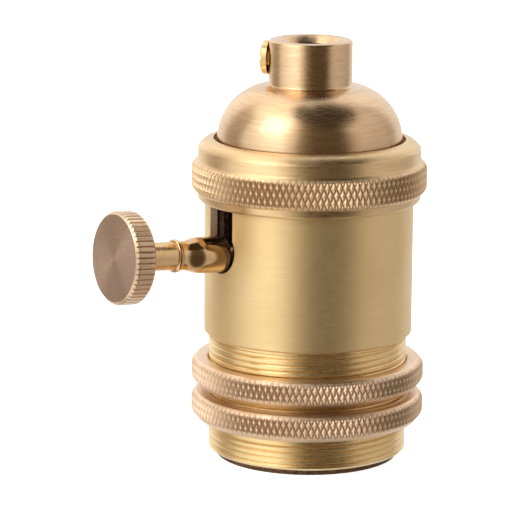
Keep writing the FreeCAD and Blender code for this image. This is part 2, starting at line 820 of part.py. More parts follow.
parts = {
    "body_sleeve": body_sleeve(),
    "retaining_ring": retaining_ring(),
    "upper_shade_ring": upper_shade_ring,
    "lower_shade_ring": lower_shade_ring,
    "insulating_liner": insulating_liner(),
    "cap_dome": cap_dome(),
    "grip_screw": grip_screw(),
    "earth_tag": earth_tag(),
    "earth_screw": earth_screw(),
    "contact_base": contact_base(),
    "screw_shell": screw_shell(),
    "center_contact": center_contact(),
    "center_rivet": center_rivet(),
    "load_contact": load_contact(),
    "switch_housing": switch_housing(),
    "housing_cover": housing_cover(),
    "housing_screws": housing_screws(),
    "live_terminal": live_terminal(),
    "neutral_terminal": neutral_terminal(),
    "live_terminal_screw": terminal_screw(-1),
    "neutral_terminal_screw": terminal_screw(1),
    "spindle_bush": spindle_bush(),
    "detent_spring": detent_spring(),
    "switch_spindle": switch_spindle(),
    "spindle_clip": spindle_clip(),
    "switch_rotor": switch_rotor(),
    "contact_blades": contact_blades(),
    "switch_knob": switch_knob(),
}

os.makedirs("parts", exist_ok=True)
for name, shape in parts.items():
    shape.exportStep("parts/" + name + ".step")
    print(name, len(shape.Solids), "solid, valid", shape.isValid(), "volume", round(shape.Volume, 2))
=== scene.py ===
import math
from functools import partial
from types import SimpleNamespace

import bmesh
import bpy
from mathutils import Matrix, Vector


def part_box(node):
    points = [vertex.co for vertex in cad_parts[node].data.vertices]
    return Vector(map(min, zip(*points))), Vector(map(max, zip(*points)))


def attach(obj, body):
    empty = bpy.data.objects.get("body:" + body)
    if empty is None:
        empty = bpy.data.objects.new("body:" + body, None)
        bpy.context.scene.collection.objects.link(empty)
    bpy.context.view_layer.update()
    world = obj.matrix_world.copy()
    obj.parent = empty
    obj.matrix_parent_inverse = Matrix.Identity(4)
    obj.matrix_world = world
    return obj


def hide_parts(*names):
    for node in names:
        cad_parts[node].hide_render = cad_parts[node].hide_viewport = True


print("loading the holder's solids")
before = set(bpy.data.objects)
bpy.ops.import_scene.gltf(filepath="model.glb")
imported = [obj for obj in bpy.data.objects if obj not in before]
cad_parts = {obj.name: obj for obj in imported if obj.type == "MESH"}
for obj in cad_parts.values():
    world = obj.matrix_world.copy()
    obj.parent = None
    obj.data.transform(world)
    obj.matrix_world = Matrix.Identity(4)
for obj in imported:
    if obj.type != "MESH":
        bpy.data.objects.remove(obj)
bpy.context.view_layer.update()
mm = 0.001
turn = 2 * math.pi
weldGap = 0.002 * mm  # points nearer than this become one where surfaces are joined
seamGap = 0.001 * mm  # and where a rolled grid meets itself
overshoot = 1.0  # how far a cutter reaches past what it cuts
gentleBend = math.radians(25)  # a bend that needs no eased corner
scene = bpy.context.scene
scene.view_settings.view_transform = "Standard"


# small helpers for meshes

def boxOf(node):
    low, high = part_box(node)
    return low / mm, high / mm


def addMesh(name, points, faces):
    mesh = bpy.data.meshes.new(name)
    mesh.from_pydata([[c * mm for c in point] for point in points], [], faces)
    piece = bpy.data.objects.new(name, mesh)
    scene.collection.objects.link(piece)
    return piece


def settle(piece):
    # turns what the modifiers make into the piece's own plain mesh
    graph = bpy.context.evaluated_depsgraph_get()
    mesh = bpy.data.meshes.new_from_object(piece.evaluated_get(graph))
    piece.modifiers.clear()
    piece.data = mesh


def arcPoints(centreR, centreZ, radius, fromAngle, toAngle, steps):
    points = []
    for i in range(steps + 1):
        angle = math.radians(fromAngle + (toAngle - fromAngle) * i / steps)
        points.append((centreR + radius * math.cos(angle), centreZ + radius * math.sin(angle)))
    return points


def easeCorners(points, size):
    # breaks each inner corner of an outline by a tiny flat, as a turned edge has
    eased = [points[0]]
    for before, corner, after in zip(points, points[1:], points[2:]):
        here = Vector(corner)
        back, ahead = Vector(before) - here, Vector(after) - here
        bend = math.pi - back.angle(ahead, math.pi)
        if bend < gentleBend:
            eased.append(corner)
            continue
        step = min(size, back.length / 3, ahead.length / 3)
        eased.append(tuple(here + back.normalized() * step))
        eased.append(tuple(here + ahead.normalized() * step))
    eased.append(points[-1])
    return eased


def turnedFace(name, outline, columns):
    # an open outline of radius and height, turned about the axis
    points = []
    for radius, height in outline:
        for i in range(columns):
            angle = turn * i / columns - math.pi
            points.append((radius * math.cos(angle), radius * math.sin(angle), height))
    faces = []
    for row in range(len(outline) - 1):
        for i in range(columns):
            n = (i + 1) % columns
            a, b = row * columns + i, row * columns + n
            faces.append((a, b, b + columns, a + columns))
    return addMesh(name, points, faces)


def joinClosed(name, faces, place=None):
    # joins the surfaces of one piece, closes their shared edges and turns every face outwards
    active = faces[0]
    with bpy.context.temp_override(active_object=active, selected_editable_objects=faces):
        bpy.ops.object.join()
    active.name = name
    active.data.name = name
    work = bmesh.new()
    work.from_mesh(active.data)
    bmesh.ops.remove_doubles(work, verts=work.verts, dist=weldGap)
    bmesh.ops.recalc_face_normals(work, faces=work.faces)
    openEdges = sum(1 for edge in work.edges if len(edge.link_faces) != 2)
    work.to_mesh(active.data)
    work.free()
    if place:
        active.data.transform(place)
    print("  ", name, len(active.data.polygons), "faces,", openEdges, "open edges")
    return active


def cutAway(piece, cutters):
    for cutter in cutters:
        cut = piece.modifiers.new("cut", "BOOLEAN")
        cut.operation = "DIFFERENCE"
        cut.solver = "EXACT"
        cut.object = cutter
    settle(piece)
    for cutter in cutters:
        bpy.data.objects.remove(cutter)


def aimed(base, way):
    # a place whose Z runs along the given way
    return Matrix.Translation(Vector(base) * mm) @ Vector(way).to_track_quat("Z", "Y").to_matrix().to_4x4()


def rod(name, radius, start, end, columns=64):
    # a closed cylinder from one point to another
    way = Vector(end) - Vector(start)
    outline = [(0, 0), (radius, 0), (radius, way.length), (0, way.length)]
    return joinClosed(name, [turnedFace(name, outline, columns)], aimed(start, way))


def smoothCopy(node, name):
    # the solid's own mesh with its loose triangles merged, so that its round faces shade smoothly
    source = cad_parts[node]
    piece = bpy.data.objects.new(name, source.data.copy())
    scene.collection.objects.link(piece)
    return joinClosed(name, [piece])


def finishPiece(piece, material, body, nodes, sharpAngle=28):
    piece.data.materials.clear()
    piece.data.materials.append(material)
    for polygon in piece.data.polygons:
        polygon.use_smooth = True
        polygon.material_index = 0
    piece.data.set_sharp_from_angle(angle=math.radians(sharpAngle))
    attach(piece, body)
    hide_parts(*nodes)


def paintWhere(piece, material, chosen):
    # another finish for the faces chosen by their middle, in millimetres, and their normal
    piece.data.materials.append(material)
    for polygon in piece.data.polygons:
        if chosen(polygon.center / mm, polygon.normal):
            polygon.material_index = len(piece.data.materials) - 1


# node helpers, for shapes and for finishes

def isSocket(value):
    return isinstance(value, bpy.types.NodeSocket)


def feed(socket, value):
    if isSocket(value):
        socket.id_data.links.new(value, socket)
    else:
        socket.default_value = value


def feedAll(node, inputs):
    for key, value in inputs.items():
        feed(node.inputs[key], value)


def addNode(tree, kind, inputs, **settings):
    node = tree.nodes.new(kind)
    for name, value in settings.items():
        setattr(node, name, value)
    feedAll(node, inputs)
    return node


def calc(operation, *values):
    # one step of arithmetic, in the tree that its sockets belong to
    tree = next(value.id_data for value in values if isSocket(value))
    return addNode(tree, "ShaderNodeMath", dict(enumerate(values)), operation=operation).outputs[0]


plus, minus, times, divide, timesPlus, least, most = [
    partial(calc, step) for step in ("ADD", "SUBTRACT", "MULTIPLY", "DIVIDE", "MULTIPLY_ADD", "MINIMUM",
                                     "MAXIMUM")]


def clampTo(value, low, high):
    return least(most(value, low), high)


def zigzag(value):
    # falls from 1 to 0 and rises again, once for each whole step
    return calc("ABSOLUTE", timesPlus(calc("FLOORED_MODULO", value, 1), 2, -1))


def easeWave(value):
    # from 0 to 1 along half a cosine
    return timesPlus(calc("COSINE", times(value, math.pi)), -0.5, 0.5)


def splitVector(vector):
    return addNode(vector.id_data, "ShaderNodeSeparateXYZ", {0: vector}).outputs


def joinVector(x, y, z):
    return addNode(x.id_data, "ShaderNodeCombineXYZ", {0: x, 1: y, 2: z}).outputs[0]


def vectorCalc(operation, tree, first, second, output=0):
    return addNode(tree, "ShaderNodeVectorMath", {0: first, 1: second}, operation=operation).outputs[output]


wholeNumbers = ("Columns", "Rows", "Count", "Steps")
plainShares = ("Land", "Rounded")


def newTree(name, inputs):
    tree = bpy.data.node_groups.new(name, "GeometryNodeTree")
    tree.interface.new_socket("Geometry", in_out="OUTPUT", socket_type="NodeSocketGeometry")
    for label in inputs:
        kind = "NodeSocketInt" if label in wholeNumbers else "NodeSocketFloat"
        tree.interface.new_socket(label, in_out="INPUT", socket_type=kind)
    tree.interface.new_socket("Material", in_out="INPUT", socket_type="NodeSocketMaterial")
    return tree, tree.nodes.new("NodeGroupInput").outputs


def roundGrid(tree, columns, rows):
    # a flat grid whose x is the angle and whose y runs from 0 to 1
    grid = addNode(tree, "GeometryNodeMeshGrid", {
        "Size X": turn, "Size Y": 1, "Vertices X": plus(columns, 1), "Vertices Y": plus(rows, 1),
    })
    place = splitVector(addNode(tree, "GeometryNodeInputPosition", {}).outputs[0])
    return grid.outputs["Mesh"], place[0], plus(place[1], 0.5)


def bandHeight(given, share):
    return timesPlus(share, minus(given["High"], given["Low"]), given["Low"])


def fromEnds(given, height):
    # how far a point is from the nearer end of its band
    return least(minus(height, given["Low"]), minus(given["High"], height))


def cutRadius(given, groove):
    return minus(given["Radius"], times(groove, given["Depth"]))


def bevelledRadius(given, groove, height):
    # grooves that end in a bevel at both sides of the band
    return least(cutRadius(given, groove), plus(given["Edge"], fromEnds(given, height)))


def rollUp(tree, mesh, angle, radius, height, groove, material, alongValleys=False):
    # rolls the grid into its ring, keeps how deep each point lies, and ends the tree
    place = joinVector(
        times(radius, calc("COSINE", angle)), times(radius, calc("SINE", angle)), height)
    steps = [
        ("GeometryNodeStoreNamedAttribute", {"Name": "groove", "Value": groove}, {}),
        ("GeometryNodeSetPosition", {"Position": place}, {}),
        ("GeometryNodeMergeByDistance", {"Distance": seamGap}, {}),
    ]
    if alongValleys:
        # a valley's points lie closest to the axis, so the shortest diagonal folds each square along it
        steps.append(("GeometryNodeTriangulate", {}, {"quad_method": "SHORTEST_DIAGONAL"}))
    steps += [
        ("GeometryNodeRealizeInstances", {}, {}),
        ("GeometryNodeSetMaterial", {"Material": material}, {}),
        ("NodeGroupOutput", {}, {}),
    ]
    for kind, inputs, settings in steps:
        node = addNode(tree, kind, {0: mesh, **inputs}, **settings)
        mesh = node.outputs[0] if node.outputs else None


def grow(name, tree, values, material):
    # one surface made by a tree, with its named sizes in millimetres
    piece = addMesh(name, [], [])
    modifier = piece.modifiers.new(tree.name, "NODES")
    modifier.node_group = tree
    for item in tree.interface.items_tree:
        if item.in_out != "INPUT":
            continue
        if item.name == "Material":
            value = material
        elif item.name in wholeNumbers:
            value = int(values[item.name])
        else:
            value = float(values[item.name]) if item.name in plainShares else values[item.name] * mm
        modifier[item.identifier] = value
    settle(piece)
    return piece


# the three cut patterns of the holder

bandInputs = ["Radius", "Depth", "Low", "High", "Edge", "Land", "Count", "Rows", "Columns"]
threadInputs = ["Radius", "Depth", "Low", "High", "Pitch", "Fade", "Land", "Rounded", "Steps", "Rows",
                "Columns"]
stepsPerDiamond = 4  # rows of points for each row of knurls


def knurlTree():
    # two families of helical V grooves, which leave small diamonds between them
    tree, given = newTree("diamondKnurl", bandInputs)
    mesh, angle, share = roundGrid(tree, given["Columns"], times(given["Rows"], stepsPerDiamond))
    height = bandHeight(given, share)
    around = divide(times(angle, given["Count"]), turn)
    along = times(times(share, given["Rows"]), 0.5)
    crest = least(*[minus(1, zigzag(step(around, along))) for step in (plus, minus)])
    crest = divide(least(crest, given["Land"]), given["Land"])
    groove = minus(1, crest)
    radius = bevelledRadius(given, groove, height)
    rollUp(tree, mesh, angle, radius, height, groove, given["Material"], alongValleys=True)
    return tree


def threadTree():
    # a right-hand thread whose rows of points follow the helix; it fades out at both ends
    tree, given = newTree("helicalThread", threadInputs)
    mesh, angle, share = roundGrid(tree, given["Columns"], given["Rows"])
    pitch, land = given["Pitch"], given["Land"]
    span = times(pitch, divide(given["Rows"], given["Steps"]))
    climb = times(pitch, divide(angle, turn))
    base = minus(given["Low"], times(pitch, 0.5))
    level = timesPlus(share, span, base)
    height = clampTo(plus(level, climb), given["Low"], given["High"])
    slope = zigzag(divide(minus(height, climb), pitch))
    flanks = clampTo(divide(minus(slope, land), minus(1, land)), 0, 1)
    mixed = timesPlus(minus(easeWave(flanks), flanks), given["Rounded"], flanks)
    fade = clampTo(divide(fromEnds(given, height), given["Fade"]), 0, 1)
    groove = times(mixed, fade)
    rollUp(tree, mesh, angle, cutRadius(given, groove), height, groove, given["Material"])
    return tree


def toothTree():
    # straight teeth with flat tops round a disc, bevelled at both faces
    tree, given = newTree("straightTeeth", bandInputs)
    mesh, angle, share = roundGrid(tree, given["Columns"], given["Rows"])
    height = bandHeight(given, easeWave(share))
    off = zigzag(divide(times(angle, given["Count"]), turn))
    wide = minus(1, given["Land"])
    groove = clampTo(minus(1, divide(off, wide)), 0, 1)
    rollUp(tree, mesh, angle, bevelledRadius(given, groove, height), height, groove, given["Material"])
    return tree


knurling = knurlTree()
threading = threadTree()
toothing = toothTree()


# finishes

noiseLow, noiseHigh = 0.3, 0.7  # most of a noise lies between these
quarterTurn = 0.25  # turns the grain to run along the tool marks
fineShare = 12  # how much finer a strip's grain is than its clouds
cloudStrength, fleckStrength = 0.6, 0.6


def startFinish(name):
    material = bpy.data.materials.new(name)
    material.use_nodes = True
    tree = material.node_tree
    return material, tree.nodes["Principled BSDF"], tree.nodes.new("ShaderNodeTexCoord").outputs["Object"]


def noise(vector, scale, detail=3.0, roughness=0.5):
    inputs = {"Scale": scale, "Detail": detail, "Roughness": roughness, "Vector": vector}
    return addNode(vector.id_data, "ShaderNodeTexNoise", inputs).outputs["Fac"]


def mapRange(value, fromLow, fromHigh, toLow=0, toHigh=1, way="LINEAR"):
    inputs = {"From Min": fromLow, "From Max": fromHigh, "To Min": toLow, "To Max": toHigh, "Value": value}
    return addNode(value.id_data, "ShaderNodeMapRange", inputs, interpolation_type=way).outputs[0]


def spread(value, low, high):
    return mapRange(value, noiseLow, noiseHigh, low, high)


def uneven(value, look, less, more):
    # a roughness that wanders between two shares of the finish's own
    return spread(value, look["roughness"] * less, look["roughness"] * more)


def blendColours(share, first, second):
    first, second = [colour if isSocket(colour) else (*colour, 1) for colour in (first, second)]
    return addNode(share.id_data, "ShaderNodeMix", {0: share, 6: first, 7: second},
                   data_type="RGBA").outputs[2]


def bumped(height, distance):
    return addNode(height.id_data, "ShaderNodeBump", {"Distance": distance * mm, "Height": height}).outputs[0]


def turnedMetal(name, look, centre=(0, 0, 0), axis=(0, 0, 1)):
    # metal turned about an axis: fine rings of tool marks, a grain that follows them, a faint tarnish, and
    # grooves darkened partly as patina, partly as painted shade
    material, shader, coords = startFinish(name)
    tree = material.node_tree
    turned = Vector(axis).to_track_quat("Z", "X").to_euler()
    place = addNode(tree, "ShaderNodeMapping", {"Location": centre, "Rotation": turned, "Vector": coords},
                    vector_type="TEXTURE")
    x, y, z = splitVector(place.outputs[0])
    flat = calc("SQRT", plus(times(x, x), times(y, y)))
    marks = joinVector(flat, z, times(calc("ARCTAN2", y, x), look["stretch"] * mm))
    lines = noise(marks, look["lines"], 4, 0.6)
    streaks = noise(marks, look["lines"] * look["streakScale"], 3, 0.6)
    cloud = noise(coords, look["cloud"], 4)
    colour = blendColours(spread(cloud, 0, look["tarnish"]), look["colour"], look["shade"])
    colour = blendColours(spread(streaks, 0, look["lineShade"]), colour, look["shade"])
    groove = addNode(tree, "ShaderNodeAttribute", {}, attribute_name="groove").outputs["Fac"]
    # the deeper a point lies in a groove, the darker it is painted: partly patina in the hollow, partly
    # painted shade
    grooveShadeAndPatinaShare = times(calc("POWER", groove, 2), look["grooveShadeAndPatina"])
    worn = plus(uneven(cloud, look, 0.9, 1.1), spread(lines, -look["haze"] / 4, look["haze"]))
    marked = timesPlus(streaks, look["streakShare"], lines)
    across = vectorCalc("CROSS_PRODUCT", tree, axis, vectorCalc("SUBTRACT", tree, coords, centre))
    grainWay = addNode(tree, "ShaderNodeVectorTransform", {0: across},
                       vector_type="VECTOR", convert_from="OBJECT", convert_to="WORLD")
    feedAll(shader, {
        "Base Color": blendColours(grooveShadeAndPatinaShare, colour, look["grooveShadeAndPatinaColour"]), "Metallic": look["metallic"],
        "Anisotropic": look["grain"], "Anisotropic Rotation": quarterTurn, "Roughness": worn,
        "Normal": bumped(marked, look["lineDepth"]), "Tangent": grainWay.outputs[0],
    })
    return material


def plainMetal(name, look, metallic=1.0):
    # pressed strip or plated steel, with no lathe marks
    material, shader, coords = startFinish(name)
    cloud = noise(coords, look["cloud"], 5)
    fine = noise(coords, look["cloud"] * fineShare)
    feedAll(shader, {
        "Base Color": blendColours(spread(cloud, 0, 1), look["colour"], look["shade"]),
        "Roughness": uneven(fine, look, 0.8, 1.25), "Normal": bumped(fine, look["grainDepth"]),
        "Metallic": metallic,
    })
    return material


def mouldedPlastic(name, look, rim=None):
    # phenolic with a fine fleck and a slightly uneven skin
    material, shader, coords = startFinish(name)
    cloud = noise(coords, look["cloud"], 4)
    fleck = noise(coords, look["fleck"], 2, 0.7)
    colour = blendColours(spread(cloud, 0, cloudStrength), look["colour"], look["shade"])
    if rim:
        # paler, flecked colour towards the bottom end of the piece
        nearBottom = mapRange(splitVector(coords)[2], rim["high"] * mm, rim["low"] * mm)
        colour = blendColours(nearBottom, colour, blendColours(spread(fleck, 0, 1), rim["colour"], rim["paleTone"]))
    flecks = times(calc("GREATER_THAN", fleck, look["fleckLevel"]), fleckStrength)
    feedAll(shader, {
        "Base Color": blendColours(flecks, colour, look["fleckColour"]),
        "Roughness": uneven(fleck, look, 0.8, 1.2),
        "Normal": bumped(fleck, look["skinDepth"]), "Specular IOR Level": look["specular"],
    })
    return material


def glazedPorcelain(name, look):
    material, shader, coords = startFinish(name)
    cloud = noise(coords, look["cloud"])
    feedAll(shader, {
        "Base Color": blendColours(spread(cloud, 0, 1), look["colour"], look["shade"]),
        "Normal": bumped(cloud, look["skinDepth"]), "Roughness": look["roughness"],
        "Coat Weight": look["glaze"], "Coat Roughness": look["glazeRoughness"],
    })
    return material


sleeveLook = dict(
    colour=(0.90, 0.70, 0.39), shade=(0.78, 0.57, 0.28), grooveShadeAndPatinaColour=(0.45, 0.25, 0.08), metallic=0.86,
    roughness=0.40, grain=0.5, lines=7000, stretch=1.2, lineDepth=0.003, streakShare=2.0, streakScale=0.3,
    haze=0.22, lineShade=0.45, cloud=70, tarnish=0.4, grooveShadeAndPatina=0.0
)
skirtLook = dict(
    sleeveLook, metallic=0.93, colour=(0.90, 0.68, 0.36), roughness=0.2, haze=0.28, lineShade=0.3,
    grooveShadeAndPatina=0.2
)
capLook = dict(
    sleeveLook, metallic=1.0, colour=(0.80, 0.60, 0.40), shade=(0.66, 0.44, 0.25), roughness=0.2, haze=0.18,
    lineDepth=0.005, lineShade=0.9
)
# a darker brass for the neck's threaded bore: painted shade inside the hole
shadedBoreLook = dict(capLook, colour=(0.46, 0.29, 0.17), shade=(0.34, 0.20, 0.11), roughness=0.3)
ringLook = dict(
    sleeveLook, metallic=0.98, colour=(0.84, 0.64, 0.38), shade=(0.68, 0.47, 0.25), roughness=0.29, haze=0.22,
    lineDepth=0.005, lineShade=0.7, grooveShadeAndPatina=0.5, grooveShadeAndPatinaColour=(0.42, 0.23, 0.12)
)
# the knurled bands get a paler brass than the smooth faces of their rings: painted light, for the facets that
# catch the lamps
litKnurlLook = dict(
    ringLook, metallic=0.88, colour=(0.96, 0.75, 0.50), shade=(0.86, 0.62, 0.38), roughness=0.38, haze=0.3,
    grain=0.2, lineShade=0.2, grooveShadeAndPatina=0.75, grooveShadeAndPatinaColour=(0.42, 0.22, 0.10)
)
shadeRingLook = dict(ringLook, colour=(0.90, 0.70, 0.50), shade=(0.76, 0.55, 0.36))
litShadeKnurlLook = dict(litKnurlLook, colour=(0.97, 0.77, 0.58), shade=(0.88, 0.66, 0.46))
knobLook = dict(
    sleeveLook, metallic=1.0, colour=(0.90, 0.71, 0.52), shade=(0.78, 0.57, 0.40), roughness=0.28, grain=0.7,
    haze=0.3, grooveShadeAndPatina=0.15, lineDepth=0.005, grooveShadeAndPatinaColour=(0.50, 0.32, 0.19), lineShade=0.8
)
# the knob's front face is given a darker brass than the rest of the knob: painted shade
shadedFaceLook = dict(
    knobLook, colour=(0.64, 0.47, 0.36), shade=(0.52, 0.36, 0.27), roughness=0.24, grain=0.92, haze=0.2
)
stemLook = dict(
    knobLook, colour=(0.80, 0.58, 0.34), shade=(0.66, 0.44, 0.22), roughness=0.09, grain=0.3, haze=0.1
)
# a pale, nearly matte colour for the keyhole's cut faces: painted light, standing in for what their brass
# reflects
litCutLook = dict(
    colour=(0.98, 0.84, 0.70), shade=(0.90, 0.72, 0.56), roughness=0.55, cloud=300, grainDepth=0.004
)
screwLook = dict(
    sleeveLook, metallic=1.0, colour=(0.88, 0.71, 0.38), shade=(0.78, 0.58, 0.26), roughness=0.14, grain=0.2,
    lineShade=0.1
)
stripLook = dict(
    colour=(0.80, 0.60, 0.30), shade=(0.66, 0.46, 0.22), roughness=0.24, cloud=120, grainDepth=0.003
)
steelLook = dict(
    colour=(0.62, 0.61, 0.58), shade=(0.48, 0.47, 0.44), roughness=0.3, cloud=200, grainDepth=0.003
)
linerLook = dict(
    colour=(0.050, 0.024, 0.018), shade=(0.028, 0.013, 0.010), fleckColour=(0.26, 0.15, 0.10), fleckLevel=0.6,
    roughness=0.5, cloud=300, fleck=1700, skinDepth=0.01, specular=0.15
)
housingLook = dict(
    linerLook, colour=(0.016, 0.014, 0.013), shade=(0.010, 0.009, 0.008), fleckColour=(0.05, 0.045, 0.04),
    fleckLevel=0.68, roughness=0.42, specular=0.5
)
porcelainLook = dict(
    colour=(0.86, 0.85, 0.81), shade=(0.80, 0.78, 0.73), roughness=0.35, glaze=0.8, glazeRoughness=0.06,
    cloud=160, skinDepth=0.02
)

print("mixing the finishes")
sleeveBrass = turnedMetal("sleeveBrass", sleeveLook)
skirtBrass = turnedMetal("skirtBrass", skirtLook)
capBrass = turnedMetal("capBrass", capLook)
shadedBoreBrass = turnedMetal("shadedBoreBrass", shadedBoreLook)
ringBrass = turnedMetal("ringBrass", ringLook)
litKnurlBrass = turnedMetal("litKnurlBrass", litKnurlLook)
litShadeKnurlBrass = turnedMetal("litShadeKnurlBrass", litShadeKnurlLook)
shadeRingBrass = turnedMetal("shadeRingBrass", shadeRingLook)
stripBrass = plainMetal("stripBrass", stripLook)
litCutBrass = plainMetal("litCutBrass", litCutLook, 0.1)
platedSteel = plainMetal("platedSteel", steelLook)
paleBottomBand = dict(low=1.0, high=1.6, colour=(0.10, 0.045, 0.022), paleTone=(0.34, 0.21, 0.13))
brownPhenolic = mouldedPlastic("brownPhenolic", linerLook, paleBottomBand)
blackPhenolic = mouldedPlastic("blackPhenolic", housingLook)
whitePorcelain = glazedPorcelain("whitePorcelain", porcelainLook)


# the sleeve: plain above, with a keyhole for the switch, and a threaded skirt below

sleeve = dict(
    radius=20.0, bore=18.5, lowBevel=0.45, lowLevel=24.05, boreStep=26.0, skirtRadius=19.05, skirtBore=17.5,
    skirtBevel=0.45, threadTop=23.4, reliefRadius=18.8, threadPitch=1.2, threadDepth=0.24, threadFade=0.3,
    threadLand=0.5, threadRounded=0.6, rimLevel=52.3, rimRadius=19.6, rimPitch=1.0, rimDepth=0.4,
    rimBevel=0.3, keyholeRadius=4.6, keyholeLift=0.85, keyholeWidth=8.0, keyholeSteps=24, spindleHeight=39.7,
    spindleTilt=4.1, cutterNear=1.5, cutterFar=0.5, cutMargin=0.2, cutFront=0.9, cutRise=5.0, cutFacing=0.4,
    edge=0.06, columns=256, stepsPerTurn=10
)


def threadedFace(name, radius, depth, low, high, pitch, fade, size, material, land=0.3, rounded=0.3):
    turns = (high - low + pitch) / pitch
    return grow(name, threading, {
        "Radius": radius, "Depth": depth, "Low": low, "High": high, "Pitch": pitch, "Fade": fade,
        "Land": land, "Rounded": rounded, "Steps": size.stepsPerTurn, "Columns": size.columns,
        "Rows": math.ceil(turns * size.stepsPerTurn - 0.001),  # the last term keeps a whole number whole
    }, material)


def keyholeCutter(size, top):
    # a round hole with a slot that runs up from it past the rim
    height = size.spindleHeight + size.radius * math.tan(math.radians(size.spindleTilt)) + size.keyholeLift
    half = size.keyholeWidth / 2
    shoulder = height + math.sqrt(size.keyholeRadius ** 2 - half ** 2)
    ring = arcPoints(0, height, size.keyholeRadius, -90, 270, size.keyholeSteps)[:-1]
    ring = [(x, z) for x, z in ring if z <= shoulder or abs(x) >= half + 0.01]
    slot = [(half, shoulder), (half, top + overshoot), (-half, top + overshoot), (-half, shoulder)]
    plan = [spot for spot in ring if spot[0] >= 0] + slot + [spot for spot in ring if spot[0] < 0]
    count = len(plan)
    points = [(x, -size.radius * share, z) for share in (size.cutterNear, size.cutterFar) for x, z in plan]
    faces = [tuple(range(count)), tuple(range(2 * count - 1, count - 1, -1))]
    faces += [(i, i + count, (i + 1) % count + count, (i + 1) % count) for i in range(count)]
    return joinClosed("keyhole", [addMesh("keyhole", points, faces)])


def makeSleeve():
    size = SimpleNamespace(**sleeve)
    low, high = boxOf("body_sleeve")
    skirtLow, top = low.z, high.z
    threadLow = skirtLow + size.skirtBevel
    rimLow, rimHigh = size.rimLevel + size.edge, top - size.rimBevel
    upper = easeCorners([
        (size.skirtRadius, size.threadTop), (size.reliefRadius, size.threadTop),
        (size.reliefRadius, size.lowLevel), (size.radius - size.lowBevel, size.lowLevel),
        (size.radius, size.lowLevel + size.lowBevel), (size.radius, size.rimLevel),
        (size.rimRadius, size.rimLevel), (size.rimRadius, rimLow),
    ], size.edge)
    inside = easeCorners([
        (size.rimRadius, rimHigh), (size.rimRadius - size.rimBevel, top), (size.bore, top),
        (size.bore, size.boreStep), (size.skirtBore, size.boreStep), (size.skirtBore, skirtLow),
        (size.skirtRadius - size.skirtBevel, skirtLow), (size.skirtRadius, threadLow),
    ], size.edge)
    piece = joinClosed("threadedSleeve", [
        turnedFace("sleeveOutside", upper, size.columns),
        turnedFace("sleeveInside", inside, size.columns),
        threadedFace("skirtThread", size.skirtRadius, size.threadDepth, threadLow, size.threadTop,
                     size.threadPitch, size.threadFade, size, skirtBrass, size.threadLand,
                     size.threadRounded),
        threadedFace("rimThread", size.rimRadius, size.rimDepth, rimLow, rimHigh,
                     size.rimPitch, size.threadFade, size, skirtBrass),
    ])
    cutAway(piece, [keyholeCutter(size, top)])
    finishPiece(piece, sleeveBrass, "holder", ["body_sleeve"])
    paintWhere(piece, skirtBrass, lambda spot, normal: spot.z < size.lowLevel or spot.z > size.rimLevel)

    def onCut(spot, normal):
        # the keyhole's walls: at its height on the front, and facing across the radius
        outwards = Vector((spot.x, spot.y, 0)).normalized()
        nearHole = abs(spot.x) < size.keyholeRadius + size.cutMargin and spot.z > size.lowLevel + size.cutRise
        return nearHole and spot.y < -size.bore * size.cutFront and abs(normal.dot(outwards)) < size.cutFacing

    # the keyhole's cut faces take the pale colour, which is painted light
    paintWhere(piece, litCutBrass, onCut)


print("turning the sleeve")
makeSleeve()


# the retaining ring and the two shade rings, each with a diamond-knurled band

retainer = dict(
    radius=21.3, knurlRadius=22.5, knurlDepth=0.36, edgeRadius=21.8, bandLow=51.8, bandHigh=57.4, bevel=0.5,
    cornerLevel=60.07, mouthRadius=18.35, crownBulge=0.42, ledge=60.2, threadBore=19.67, footBore=20.07,
    footTop=52.8, footBevel=0.41, crownSteps=12, knurls=120, rows=4, land=0.75, edge=0.06, bandMargin=0.02
)
shadeRing = dict(
    knurlRadius=22.4, knurlDepth=0.36, edgeRadius=21.7, bandRise=0.7, bandLength=4.1, bevel=0.5, topBevel=0.3,
    bore=19.12, knurls=119, rows=3, land=0.75, edge=0.06, bandMargin=0.02
)
knurlSteps = 8  # columns of points for each knurl


def knurledBand(name, size, low, high, material):
    return grow(name, knurling, {
        "Radius": size.knurlRadius, "Depth": size.knurlDepth, "Low": low, "High": high,
        "Edge": size.edgeRadius, "Land": size.land, "Count": size.knurls, "Rows": size.rows,
        "Columns": size.knurls * knurlSteps,
    }, material)


# the knurled faces take the paler brass, which is painted light
def finishBand(piece, material, size, low, high):
    def onKnurl(spot, normal):
        return low < spot.z < high and math.hypot(spot.x, spot.y) > size.edgeRadius - size.bandMargin

    paintWhere(piece, material, onKnurl)


def makeRetainer():
    size = SimpleNamespace(**retainer)
    low, high = boxOf("retaining_ring")
    corner, mouth = Vector((size.radius, size.cornerLevel)), Vector((size.mouthRadius, high.z))
    chord = mouth - corner
    bulge = Vector((chord.y, -chord.x)).normalized() * size.crownBulge
    crown = []
    for i in range(1, size.crownSteps):
        share = i / size.crownSteps
        crown.append(tuple(corner + chord * share + bulge * (1 - (2 * share - 1) ** 2)))
    outline = easeCorners([
        (size.edgeRadius, size.bandHigh), (size.radius, size.bandHigh + size.bevel), tuple(corner),
        *crown, tuple(mouth), (size.mouthRadius, size.ledge), (size.threadBore, size.ledge),
        (size.threadBore, size.footTop), (size.footBore, size.footTop), (size.footBore, low.z),
        (size.radius - size.footBevel, low.z), (size.radius, low.z + size.footBevel),
        (size.radius, size.bandLow - size.bevel / 2), (size.edgeRadius, size.bandLow),
    ], size.edge)
    columns = size.knurls * knurlSteps
    piece = joinClosed("knurledRetainer", [
        turnedFace("retainerFaces", outline, columns),
        knurledBand("retainerKnurl", size, size.bandLow, size.bandHigh, ringBrass),
    ])
    finishPiece(piece, ringBrass, "clamp_ring", ["retaining_ring"])
    finishBand(piece, litKnurlBrass, size, size.bandLow, size.bandHigh)


